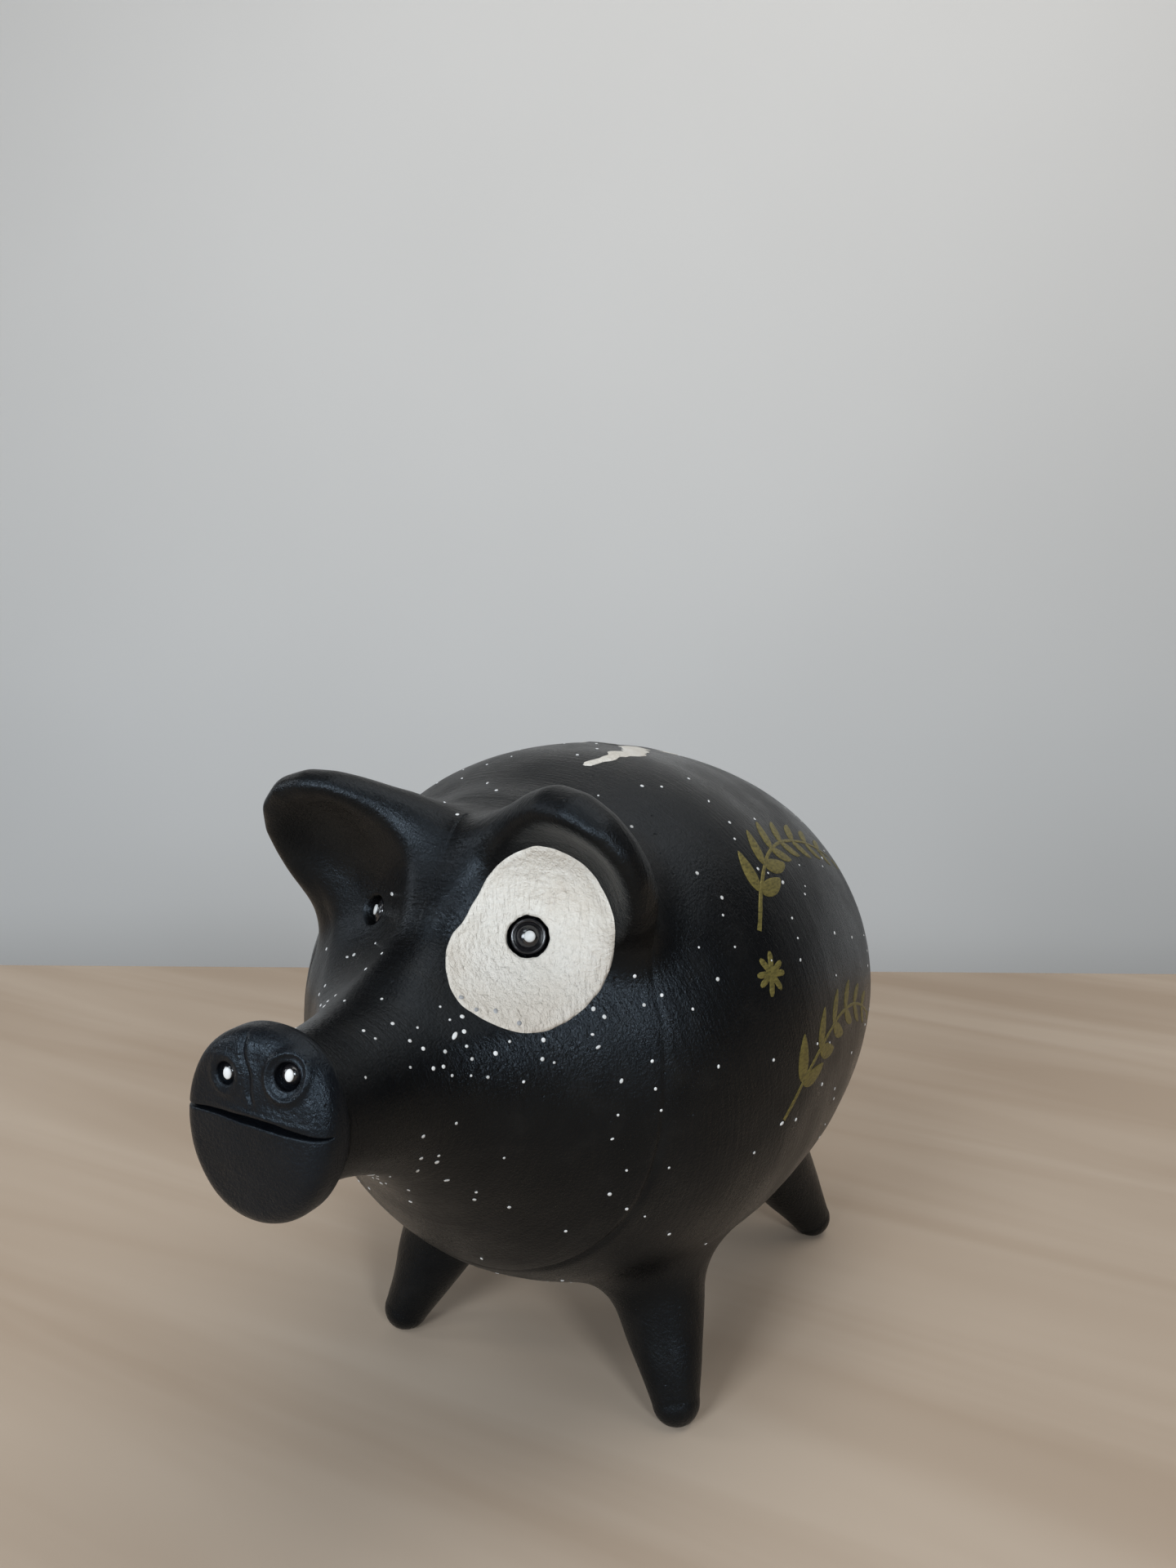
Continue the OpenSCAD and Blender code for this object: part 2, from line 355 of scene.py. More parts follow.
def with_tail(f, x, y, z):
    """A curl of clay that thins and winds in as it goes round; the angles are in degrees."""
    start, sweep, curl = 215.0, 290.0, 6.4
    thick, thin, thinner_by, in_by = 3.0, 2.1, 0.9, 1.2

    def end(turn, out, r):
        q = math.radians(turn)
        c = (TAIL[0] + out * math.sin(q), TAIL[1] + 0.1, TAIL[2] + out * math.cos(q))
        return ball(x, y, z, c, r)

    px, pz = x - TAIL[0], z - TAIL[2]
    u = ((np.degrees(np.arctan2(px, pz)) % 360 - start) % 360) / sweep
    along = np.clip(u, 0, 1)
    ring = np.hypot(np.hypot(px, pz) - curl + in_by * along, y - TAIL[1] - 0.1)
    ends = np.minimum(end(start, curl, thick), end(start + sweep, curl - in_by, thin))
    d = np.where(u <= 1, np.minimum(ring - (thick - thinner_by * along), ends), ends)
    return smin(f, d, 1.6)


def with_neck_groove(f, x, y, z):
    """The groove where the head was joined on; it leans back and fades towards the top."""
    deep = np.clip(0.42 + 0.35 * lumps(x, y, z, 17), 0.1, 0.8) * np.clip((130 - z) / 25, 0, 1)
    line = NECK_Y + 3.6 * np.clip((z - 90) / 28, 0, 1) ** 1.5 + 0.12 * lumps(x, y, z, 11)
    return f + deep * np.exp(-((y - line) / 0.6) ** 2)


# Each nostril: x, height over NOSTRIL_Z, radius, radius of the ring round it, and the ring's rise
NOSTRILS = ((6.8, 1.2, 2.35, 3.7, 0.55), (-5.8, -0.3, 2.0, 3.1, 0.2))
NOSTRIL_Z = SNOUT_Z + 10.2
MOUTH_Z = SNOUT_Z + 1.9
SNOUT_LEAN = -0.8


def face_y(x, z):
    """The snout's slightly domed front, which falls away more over the left nostril."""
    px, pz = x / SNOUT_W, (z - SNOUT_Z) / SNOUT_H
    fall = 3.6 * np.maximum(0.75 * (px + pz) - 0.25, 0) ** 2
    return FACE_Y + 0.7 * px ** 2 + 0.9 * pz ** 2 + fall


def with_snout(f, x, y, z):
    """The disc pressed on the muzzle: narrower below, with nostrils, a crease and a cut mouth."""
    narrow = 1 - 0.0040 * np.maximum(SNOUT_Z - z, 0)
    lean = SNOUT_LEAN + 0.055 * (z - SNOUT_Z)
    px, pz = (x - lean) / (SNOUT_W - 0.1) / narrow, (z - SNOUT_Z - 0.35) / SNOUT_H
    side = ((np.abs(px) ** 2.2 + np.abs(pz) ** 2.2 + 1e-9) ** (1 / 2.2) - 1) * 16.6
    disc = smax(smax(side, face_y(x, z) - y, 3.6), y - MUZZLE_Y - 0.4, 2.2)
    f = smin(f, disc + 0.10 * lumps(x, y, z, 7), 1.8)
    front = y < MUZZLE_Y - 2
    if not np.any(front):
        return f
    for nx, up, pit, ring, lift in NOSTRILS:
        nz = NOSTRIL_Z + up
        rho = np.hypot(x - nx, (z - nz) * 0.94)
        f = f - lift * np.exp(-((rho - ring) / 0.62) ** 2) * front
        f = smax(f, -ball(x, y, z, (nx, face_y(nx, nz) + 0.2, nz), pit), 0.5)
    line = MOUTH_Z + 0.75 * (1 - (x / 15.5) ** 2) - 0.025 * x + 0.08 * np.sin(x * 0.5)
    along = (x + 16.8) / 31.5
    gape = 0.12 + 0.58 * np.clip(along * 2.2, 0, 1) * np.clip((1 - along) * 3.5, 0, 1)
    gape = gape + 0.07 * lumps(x, y, z, 3)
    slit = np.maximum(np.abs(z - line) - gape, y - face_y(x, z) - 2.6)
    slit = np.maximum(slit, np.abs(along - 0.5) * 31.5 - 15.75)
    for over, tall, mid, wide in ((1.45, 0.42, 1.5, 7.5), (2.5, 0.16, 3.5, 4.5)):
        lip = np.exp(-((z - line - over) / 0.6) ** 2) * np.exp(-((x - mid) / wide) ** 2)
        f = f - tall * lip * front
    f = smax(f, -slit, 0.4)
    bend = 0.3 - 0.27 * (z - NOSTRIL_Z + 4.0) + 0.25 * np.sin(z * 0.9)
    length = np.exp(-(np.maximum(np.abs(z - NOSTRIL_Z - 1.2) - 4.2, 0) / 1.2) ** 2)
    f = f + 0.42 * np.exp(-((x - bend) / 0.55) ** 2) * length * front
    return f - 0.16 * np.exp(-((x - bend - 1.2) / 0.8) ** 2) * length * front


def clay(x, y, z, slot=True):
    """Signed distance to the outside of the whole pig.

    Each change is made only inside rough bounds that it doesn't reach past.
    """
    x, y, z = (np.asarray(q, float) for q in (x, y, z))
    f = thrown(x, y, z)
    f = f + 0.32 * lumps(x, y, z, 26) + 0.07 * lumps(x, y, z, 8)
    f = part_of(f, (z < 62) & (y > -72) & (y < 78), with_legs, x, y, z)
    f = part_of(f, (z > 92) & (y > -134) & (y < -28) & (np.abs(x) < 66), with_head, x, y, z)
    f = part_of(f, (z > 110) & (z < 140) & (y < -70) & (y > -98), with_sockets, x, y, z)
    if slot:
        near = (z > 130) & (np.abs(x) < 12) & (np.abs(y - SLOT_Y) < 26)
        f = part_of(f, near, with_slot, x, y, z)
    f = part_of(f, (z < 40) & (np.hypot(x, y - STOPPER_Y) < 20), with_belly_spot, x, y, z)
    f = part_of(f, (y > 66) & (np.abs(x) < 16) & (np.abs(z - TAIL[2]) < 18), with_tail, x, y, z)
    f = part_of(f, np.abs(y - NECK_Y - 3) < 7, with_neck_groove, x, y, z)
    return part_of(f, y < MUZZLE_Y + 16, with_snout, x, y, z)


def uncut(x, y, z):
    """The clay before the coin slot was cut."""
    return clay(x, y, z, slot=False)


def slope(p, e=0.12, field=clay):
    """Unit outward direction of the field at the points p."""
    g = np.stack([field(*(p + step).T) - field(*(p - step).T) for step in e * np.eye(3)], 1)
    return g / (np.linalg.norm(g, axis=1, keepdims=True) + 1e-12)


SETTLE_STEPS, SETTLE_SHARE = 40, 0.85


def settle(p, out, field=clay):
    """Moves the points p along -out, or back, until they lie on the field's surface."""
    p = p.copy()
    for _ in range(SETTLE_STEPS):
        p -= out * (field(*p.T) * SETTLE_SHARE)[:, None]
    return p


# ---- meshes
def linked(ob):
    bpy.context.scene.collection.objects.link(ob)
    return ob


def to_frame(points):
    p = np.array(points, float)
    p[:, 1] += SHIFT
    return p / MM


def mesh_object(name, points, faces, sizes=None):
    """A mesh from points in the pig's millimetres; faces is (n, 3 or 4), or flat with sizes."""
    me = bpy.data.meshes.new(name)
    points = to_frame(points)
    if sizes is None:
        faces = np.asarray(faces, np.int32)
        sizes = np.full(len(faces), faces.shape[1], np.int32)
        faces = faces.ravel()
    me.vertices.add(len(points))
    me.vertices.foreach_set("co", points.astype(np.float32).ravel())
    me.loops.add(len(faces))
    me.loops.foreach_set("vertex_index", faces)
    me.polygons.add(len(sizes))
    me.polygons.foreach_set("loop_start", np.r_[0, np.cumsum(sizes)[:-1]].astype(np.int32))
    me.update(calc_edges=True)
    me.validate()
    me.polygons.foreach_set("use_smooth", np.ones(len(sizes), bool))
    return linked(bpy.data.objects.new(name, me))


def meshed(name, field, low, high, voxel):
    """The field's surface inside the box, worked out only in the blocks near it."""
    cells, blocks_at_once = 8, 1500
    size = voxel * cells
    low = np.array(low, float)
    count = np.ceil((np.array(high, float) - low) / size).astype(int)
    mids = [low[k] + (np.arange(count[k]) + 0.5) * size for k in range(3)]
    grid = np.meshgrid(*mids, indexing="ij")
    coarse = field(*(g.ravel() for g in grid)).reshape(count)
    band = 3 * voxel
    dense = np.where(coarse > 0, band, -band).astype(np.float32)
    for k in range(3):
        dense = np.repeat(dense, cells, k)
    near = np.argwhere(np.abs(coarse) < size * 1.25 + 0.5)
    step = np.arange(cells) * voxel
    offsets = [g.ravel() for g in np.meshgrid(step, step, step, indexing="ij")]
    for start in range(0, len(near), blocks_at_once):
        some = near[start:start + blocks_at_once]
        base = low + some * size
        f = field(*((base[:, k:k + 1] + offset).ravel() for k, offset in enumerate(offsets)))
        f = np.clip(f, -band, band).reshape(len(some), cells, cells, cells)
        for (i, j, k), block in zip(some * cells, f):
            dense[i:i + cells, j:j + cells, k:k + cells] = block
    volume = vdb.FloatGrid(background=band)
    volume.copyFromArray(dense)
    points, quads = volume.convertToQuads(0.0)
    points = np.asarray(points, float) * voxel + low
    quads = np.asarray(quads, np.int32)
    a, b, c = (points[quads[:, k]] for k in (0, 1, 2))
    if (a * np.cross(b, c)).sum() < 0:
        quads = quads[:, ::-1]
    return mesh_object(name, points, np.ascontiguousarray(quads))


def lathe(name, profile, around=96, place=off_axis):
    """A closed turned solid; the profile is (along, radius) and ends on the axis at both ends."""
    profile = np.array(profile, float)
    ring = profile[1:-1]
    t = all_round(around)
    wall = place(np.repeat(ring[:, 0], around), np.tile(t, len(ring)),
                 np.repeat(ring[:, 1], around))
    ends = place(profile[[0, -1], 0], np.zeros(2), np.zeros(2))
    here = np.arange(len(wall)).reshape(-1, around)
    onward = np.roll(here, -1, 1)
    first, last = (np.full(around, len(wall) + end) for end in (0, 1))
    quads = np.stack([here[:-1], onward[:-1], onward[1:], here[1:]], -1)
    fans = np.stack([(first, onward[0], here[0]), (last, here[-1], onward[-1])]).transpose(0, 2, 1)
    sizes = np.repeat([4, 3], [quads.size // 4, fans.size // 3]).astype(np.int32)
    faces = np.r_[quads.ravel(), fans.ravel()].astype(np.int32)
    ob = mesh_object(name, np.concatenate([wall, ends]), faces, sizes)
    if volume_of(ob) < 0:
        ob.data.flip_normals()
    return ob


def values(things, name, kind=np.float32, width=1):
    """A property of every vertex, corner or face: one number each, or a row of width numbers."""
    out = np.zeros(len(things) * width, kind)
    things.foreach_get(name, out)
    return out if width == 1 else out.reshape(-1, width)


def volume_of(ob):
    ob.data.calc_loop_triangles()
    co = values(ob.data.vertices, "co", width=3).astype(float)
    a, b, c = (co[corner] for corner in values(ob.data.loop_triangles, "vertices", np.int32, 3).T)
    return (a * np.cross(b, c)).sum() / 6


# The faces of a box whose corners are listed with the last axis changing fastest
BOX_FACES = [(0, 1, 3, 2), (4, 6, 7, 5), (0, 4, 5, 1), (2, 3, 7, 6), (0, 2, 6, 4), (1, 5, 7, 3)]


def block(name, low, high):
    return mesh_object(name, list(itertools.product(*zip(low, high))), BOX_FACES)


def cut(ob, cutter, how="DIFFERENCE", keep=False):
    """The boolean of ob with cutter; how is DIFFERENCE, INTERSECT or UNION."""
    mod = ob.modifiers.new("cut", "BOOLEAN")
    mod.solver = "MANIFOLD"
    mod.operation = how
    mod.object = cutter
    bpy.context.view_layer.update()
    deps = bpy.context.evaluated_depsgraph_get()
    me = bpy.data.meshes.new_from_object(ob.evaluated_get(deps))
    ob.modifiers.clear()
    old, ob.data = ob.data, me
    bpy.data.meshes.remove(old)
    if not keep:
        drop(cutter)
    return ob


def drop(ob):
    me = ob.data
    bpy.data.objects.remove(ob)
    bpy.data.meshes.remove(me)


def copy_of(ob, name):
    return linked(bpy.data.objects.new(name, ob.data.copy()))


def corners(ob):
    """The vertices in the pig's millimetres."""
    p = values(ob.data.vertices, "co", width=3).astype(float) * MM
    p[:, 1] -= SHIFT
    return p


def dressed(ob, *materials):
    ob.data.materials.clear()
    for m in materials:
        ob.data.materials.append(m)
    return ob


# A face is outside if it is this near the field (mm) and turned this much like it (a cosine)
ON_FIELD, LEAST_AGREEMENT = 0.35, 0.3
CLAY_SHARP, PAINT_SHARP = math.radians(40), math.radians(60)


def finish_clay(ob, outside, inside):
    """Outer faces take the field's own direction as their normals, so seams do not show.

    Only the walls of the hollow are raw clay.
    """
    me = dressed(ob, outside, inside).data
    p = corners(ob)
    normal = slope(p)
    vertex = values(me.loops, "vertex_index", np.int32)
    starts, totals = (values(me.polygons, f"loop_{what}", np.int32) for what in ("start", "total"))
    face = np.repeat(np.arange(len(starts)), totals)
    face = face[np.argsort(np.repeat(starts, totals), kind="stable")]
    off = np.abs(clay(*p.T))[vertex]
    deep = np.minimum.reduceat(off, starts) > WALL - 1.5
    along = (normal[vertex] * values(me.polygons, "normal", width=3)[face]).sum(1)
    agree = np.add.reduceat(along, starts) / totals
    outer = (np.maximum.reduceat(off, starts) < ON_FIELD) & (agree > LEAST_AGREEMENT)
    me.polygons.foreach_set("material_index", deep.astype(np.int32))
    me.polygons.foreach_set("use_smooth", np.ones(len(starts), bool))
    me.set_sharp_from_angle(angle=CLAY_SHARP)
    plain = values(me.corner_normals, "vector", width=3)
    chosen = np.where(outer[face][:, None], normal[vertex], plain)
    me.normals_split_custom_set(chosen.tolist())


# ---- materials
class Nodes:
    """A material's node tree, built with short calls."""

    def __init__(self, name):
        self.mat = bpy.data.materials.new(name)
        self.mat.use_nodes = True
        self.tree = self.mat.node_tree
        self.bsdf = self.tree.nodes["Principled BSDF"]
        self.place = self.add("ShaderNodeTexCoord").outputs["Object"]

    def add(self, kind, **inputs):
        node = self.tree.nodes.new(kind)
        for key, value in inputs.items():
            self.put(node.inputs[key.replace("_", " ")], value)
        return node

    def put(self, socket, value):
        if isinstance(value, bpy.types.NodeSocket):
            self.tree.links.new(value, socket)
        else:
            socket.default_value = value

    def mapped(self, scale=(1, 1, 1), turn=(0, 0, 0), source=None):
        node = self.add("ShaderNodeMapping", Vector=source or self.place, Scale=scale,
                        Rotation=turn)
        return node.outputs["Vector"]

    def noise(self, scale, detail=3.0, rough=0.55, distortion=0.0, vector=None):
        node = self.add("ShaderNodeTexNoise", Vector=vector or self.place, Scale=scale,
                        Detail=detail, Roughness=rough, Distortion=distortion)
        return node.outputs["Fac"]

    def streaks(self, scale, turn=(0, 0, 0), detail=2.0, rough=0.55, distortion=0.0, source=None):
        """Noise drawn out along an axis; a larger number in scale makes it finer that way."""
        return self.noise(1.0, detail, rough, distortion, self.mapped(scale, turn, source))

    def cells(self, scale, feature="F1"):
        node = self.add("ShaderNodeTexVoronoi", Vector=self.place, Scale=scale)
        node.feature = feature
        return node.outputs["Distance"]

    def ramp(self, fac, stops):
        node = self.add("ShaderNodeValToRGB", Fac=fac)
        elements = node.color_ramp.elements
        while len(elements) < len(stops):
            elements.new(0.5)
        for element, (at, colour) in zip(elements, stops):
            element.position = at
            element.color = (*colour, 1)
        return node.outputs["Color"]

    def level(self, fac, low, high, start=0.0, end=1.0):
        node = self.add("ShaderNodeMapRange", Value=fac, From_Min=start, From_Max=end, To_Min=low,
                        To_Max=high)
        return node.outputs["Result"]

    def plus(self, a, b):
        node = self.add("ShaderNodeMath")
        self.put(node.inputs[0], a)
        self.put(node.inputs[1], b)
        return node.outputs[0]

    def mix(self, fac, a, b):
        node = self.add("ShaderNodeMix")
        node.data_type = "RGBA"
        self.put(node.inputs["Factor"], fac)
        self.put(node.inputs["A"], a)
        self.put(node.inputs["B"], b)
        return node.outputs["Result"]

    def bumps(self, *layers):
        """Bumps one on another; each is a height, a distance in metres and a strength."""
        normal = None
        for height, distance, strength in layers:
            node = self.add("ShaderNodeBump", Height=height, Distance=distance, Strength=strength)
            if normal is not None:
                self.put(node.inputs["Normal"], normal)
            normal = node.outputs["Normal"]
        return normal

    def surface(self, **inputs):
        for key, value in inputs.items():
            self.put(self.bsdf.inputs[key.replace("_", " ")], value)
        return self.mat


def black_acrylic(name, tones, specular, tint):
    """Brushed black acrylic on fired clay: throwing lines, wrinkles, satin and matte areas."""
    m = Nodes(name)
    turned = m.mapped(turn=(-TILT, 0, 0))
    rings = m.streaks((45, 1000, 45), source=turned)
    strokes = m.streaks((800, 3300, 1300), (0.5, 0.35, 0.7), 2.0, 0.6, 0.6)
    cross = m.streaks((3600, 950, 1600), (-0.4, 0.8, 0.2), 2.0, 0.6, 0.8)
    wrinkle = m.cells(1500, feature="SMOOTH_F1")
    grain = m.noise(2300, 3.0, 0.65)
    patches = m.noise(42, 3.0, 0.55)
    pits = m.level(m.cells(210), 0, 1, 0.0, 0.08)
    blotch = m.noise(120, 4.0, 0.6)
    normal = m.bumps((rings, 0.00022, 0.6), (strokes, 0.00011, 0.75), (cross, 0.00010, 0.65),
                     (wrinkle, 0.00010, 0.6), (grain, 0.00010, 0.7), (pits, 0.00035, 0.6))
    colour = m.ramp(blotch, list(zip((0.3, 0.55, 0.8), tones)))
    rough = m.plus(m.level(patches, 0.24, 0.40, 0.35, 0.65),
                   m.level(strokes, -0.05, 0.05, 0.3, 0.7))
    return m.surface(Base_Color=colour, Roughness=rough, Normal=normal,
                     Specular_IOR_Level=specular, Specular_Tint=tint)


def raw_clay():
    """Unglazed terracotta, as inside the bank."""
    m = Nodes("raw_clay")
    blotch = m.noise(90, 4.0)
    grain = m.noise(2200, 4.0, 0.65)
    rings = m.streaks((30, 500, 30), (-TILT, 0, 0))
    normal = m.bumps((rings, 0.0006, 0.6), (grain, 0.00015, 0.6))
    colour = m.ramp(blotch, [(0.3, (0.19, 0.075, 0.04)), (0.7, (0.30, 0.13, 0.07))])
    return m.surface(Base_Color=colour, Roughness=m.level(grain, 0.8, 0.95), Normal=normal)


def gloss_black():
    m = Nodes("gloss_black")
    swirl = m.noise(900, 3.0, 0.6, 1.5)
    normal = m.bumps((swirl, 0.00012, 0.5))
    colour = m.ramp(m.noise(400, 2.0),
                    [(0.35, (0.004, 0.004, 0.005)), (0.7, (0.011, 0.010, 0.011))])
    rough = m.level(swirl, 0.10, 0.26, 0.3, 0.7)
    return m.surface(Base_Color=colour, Roughness=rough, Normal=normal, Coat_Weight=0.5,
                     Coat_Roughness=0.08, IOR=1.5)


def cream_paint():
    """Thick cream acrylic: brush ridges, warm and pink tints, thin places, and painted shade that
    darkens the patch towards its foot.
    """
    m = Nodes("cream_paint")
    tint = m.noise(95, 3.0, 0.5)
    ridges = m.streaks((1050, 1050, 230), (0.15, 0.12, 0.2), 3.0, 0.6, 0.4)
    ridges2 = m.streaks((900, 420, 1300), (-0.3, 0.4, -0.4), 3.0, 0.6, 0.5)
    fine = m.noise(2400, 2.0)
    normal = m.bumps((ridges, 0.00062, 1.0), (ridges2, 0.00042, 0.9), (fine, 0.00005, 0.5))
    base = m.ramp(tint, [(0.32, (0.53, 0.487, 0.426)), (0.5, (0.59, 0.557, 0.50)),
                         (0.72, (0.63, 0.605, 0.557))])
    thin = m.level(ridges, 0.0, 0.14, 0.62, 0.82)
    up = m.add("ShaderNodeSeparateXYZ", Vector=m.place).outputs["Z"]
    low = m.level(up, 0.74, 0.0, 0.106, 0.132)  # painted shade: the cream darkens towards the patch's foot, at the bottom
    # The darker brown stands for thin paint in the ridges and for painted shade at the foot
    colour = m.mix(m.plus(thin, low), base, (0.38, 0.335, 0.285, 1))
    rough = m.level(ridges, 0.5, 0.66, 0.3, 0.7)
    return m.surface(Base_Color=colour, Roughness=rough, Normal=normal)


def dot_paint(name, patches, stops, rough, relief):
    """Matte paint in dots; rough is its lowest and highest roughness."""
    m = Nodes(name)
    fine = m.noise(1500, 2.0)
    colour = m.ramp(m.noise(patches, 2.0), stops)
    return m.surface(Base_Color=colour, Roughness=m.level(fine, *rough),
                     Normal=m.bumps((fine, relief, 0.4)))


def gold_paint():
    """Thin metallic marker over black: streaks where the tip skipped."""
    m = Nodes("gold_paint")
    streak = m.streaks((500, 700, 2300), (0.3, 0.1, 0.0), 3.0, 0.6, 0.3)
    flake = m.cells(4200)
    colour = m.ramp(streak, [(0.30, (0.06, 0.05, 0.014)), (0.5, (0.15, 0.125, 0.034)),
                             (0.75, (0.23, 0.19, 0.055))])
    normal = m.bumps((streak, 0.00006, 0.5), (flake, 0.00003, 0.5))
    return m.surface(Base_Color=colour, Metallic=m.level(streak, 0.35, 0.7),
                     Roughness=m.level(flake, 0.40, 0.6), Normal=normal)


def stopper_rubber():
    m = Nodes("stopper_rubber")
    bloom = m.noise(140, 3.0)
    fine = m.noise(2600, 2.0)
    colour = m.ramp(bloom, [(0.35, (0.018, 0.018, 0.019)), (0.7, (0.035, 0.035, 0.036))])
    return m.surface(Base_Color=colour, Roughness=m.level(bloom, 0.6, 0.8),
                     Normal=m.bumps((fine, 0.00006, 0.4)))


PAINT = black_acrylic(
    "painted_clay",
    ((0.0016, 0.0016, 0.0018), (0.0028, 0.0027, 0.0027), (0.0062, 0.0058, 0.0054)),
    0.205, (0.74, 0.87, 1.0, 1))
# Painted sheen: a lighter, bluer copy of the black, with more specular, stands in for the bluish
# window light on the snout
SNOUT_PAINTED_SHEEN = black_acrylic(
    "snout_black_painted_sheen",
    ((0.0023, 0.0028, 0.0040), (0.0034, 0.0039, 0.0052), (0.0062, 0.0065, 0.0078)),
    0.225, (0.69, 0.85, 1.0, 1))
CLAY, GLOSS = raw_clay(), gloss_black()
CREAM, GOLD, RUBBER = cream_paint(), gold_paint(), stopper_rubber()
WHITE = dot_paint("white_paint", 260, [(0.3, (0.38, 0.38, 0.37)), (0.6, (0.60, 0.60, 0.59))],
                  (0.42, 0.6), 0.00005)
# White dots that show grey through a thin coat of cream
GREY = dot_paint("covered_white", 500, [(0.3, (0.20, 0.20, 0.205)), (0.7, (0.29, 0.29, 0.29))],
                 (0.55, 0.55), 0.00004)


def place_piece(ob, node=None, body="pig"):
    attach(ob, body)
    if node:
        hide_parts(node)
    return ob


# ---- clay pieces
FINE = 0.55
HEAD_VOXEL = 0.42
SNOUT_VOXEL = 0.24
EDGE = 3.0
EAR_MID, EAR_REACH = (31.0, -76.0, 143.0), 27.0
PLUG_GAP, BORE_HALF = 0.06, 60


def shell_profile(inset):
    """The outline moved inwards by inset (outwards if negative), closed on the axis."""
    d = np.gradient(OUTLINE[1:], axis=0)
    n = np.stack([d[:, 1], -d[:, 0]], 1) / np.linalg.norm(d, axis=1, keepdims=True)
    p = OUTLINE[1:] + n * inset
    p = p[p[:, 1] > 0.8]
    return np.concatenate([[[p[0, 0], 0]], p, [[RUMP_L - inset, 0]]])


def upright(cx, cy, cz):
    """Where a lathe's points go for an upright axis through that point."""
    return lambda along, turn, r: np.stack(
        [cx + r * np.sin(turn), cy + r * np.cos(turn), cz + along], -1)


def outside_only(shape, skin):
    """The part of a cutting shape that is off the thrown form: where a piece was stuck on."""
    return cut(shape, skin, keep=True)


def ball_profile(r, gap, steps):
    """Half a circle for a lathe; the angles stop gap short of the axis at both ends."""
    t = np.linspace(gap, math.pi - gap, steps)
    return [(-r, 0), *zip(-r * np.cos(t), r * np.sin(t)), (r, 0)]


def cylinder(name, centre, r, half, around=96):
    profile = [(-half, 0), (-half, r), (half, r), (half, 0)]
    return lathe(name, profile, around, upright(*centre))


def build_clay():
    """Every clay piece by the name of its node."""
    pieces = {}
    skin = lathe("skin", shell_profile(-0.9), around=180)
    cavity = lathe("cavity", shell_profile(WALL))
    body = meshed("thrown_body", clay, (-72, NECK_Y - EDGE, -2), (72, 92, 162), FINE)
    cut(body, block("front", (-90, -200, -20), (90, NECK_Y, 200)))
    cut(body, cavity, keep=True)
    bore = cylinder("bore", (0, STOPPER_Y, SPOT_Z), HOLE_R + PLUG_GAP, BORE_HALF)
    cut(body, bore)
    stuck_on = [(f"{end}_{side}_leg_roll", f"{end}_{side}_leg",
                 (low_x, low_y, -5), (high_x, high_y, 62))
                for end, low_y, high_y in (("front", NECK_Y, 0), ("rear", 0, 78))
                for side, low_x, high_x in (("left", 0, 80), ("right", -80, 0))]
    stuck_on.append(("tail_curl", "tail", (-20, 79, 60), (20, 100, 100)))
    for name, node, low, high in stuck_on:
        region = outside_only(block("region", low, high), skin)
        pieces[node] = cut(copy_of(body, name), region, "INTERSECT", keep=True)
        cut(body, region)
    head = meshed("pinched_head", clay, (-64, MUZZLE_Y - EDGE, 40), (64, NECK_Y + EDGE, 162),
                  HEAD_VOXEL)
    cut(head, block("back", (-90, NECK_Y, -20), (90, 100, 200)))
    cut(head, block("snout_side", (-90, -200, -20), (90, MUZZLE_Y, 200)))
    cut(head, cavity)
    for side, node in ((1, "left_ear"), (-1, "right_ear")):
        low_x, high_x = sorted((side * 2, side * 62))
        reach = EAR_REACH + 1
        ear = meshed(node + "_hood", clay, (low_x, EAR_MID[1] - reach, 100),
                     (high_x, EAR_MID[1] + reach, 163), HEAD_VOXEL)
        centre = upright(side * EAR_MID[0], *EAR_MID[1:])
        region = lathe("region", ball_profile(EAR_REACH, 0.05, 40), place=centre)
        region = outside_only(region, skin)
        cut(ear, region, "INTERSECT", keep=True)
        cut(body, region, keep=True)
        cut(head, region)
        pieces[node] = ear
    drop(skin)
    snout = meshed("snout_face", clay, (-19, FACE_Y - EDGE, SNOUT_Z - 21),
                   (19, MUZZLE_Y + EDGE, SNOUT_Z + 21), SNOUT_VOXEL)
    cut(snout, block("muzzle_side", (-60, MUZZLE_Y, 0), (60, 0, 200)))
    pieces.update(body_shell=body, head_shell=head, snout_disc=snout)
    for node, ob in pieces.items():
        # The snout takes the black with painted sheen
        finish_clay(ob, SNOUT_PAINTED_SHEEN if node == "snout_disc" else PAINT, CLAY)
        place_piece(ob, node)


build_clay()


# ---- eyes and nostril beads
def turned_about(origin, out, squeeze=1.0):
    """Where a lathe's points go for an axis through origin along out, narrowed by squeeze."""
    out = unit(out)
    across = unit(np.cross((0, 0, 1), out))
    over = np.cross(out, across)
    return lambda along, turn, r: (origin + np.multiply.outer(along, out)
                                   + np.multiply.outer(r * np.cos(turn) * squeeze, across)
                                   + np.multiply.outer(r * np.sin(turn), over))


EYE_PROFILE = catmull([(-2.1, 3.5), (-1.2, 3.78), (-0.35, 3.72), (0.0, 3.4), (-0.05, 3.05),
                       (-0.5, 2.8), (-0.3, 2.6), (0.15, 2.2), (0.6, 1.55), (0.85, 0.9),
                       (0.92, 0.35)], 4)
PUPIL_PROFILE = [(-0.5, 0), (-0.5, 1.05), (0.0, 1.18), (0.22, 1.0), (0.34, 0.55), (0.36, 0)]


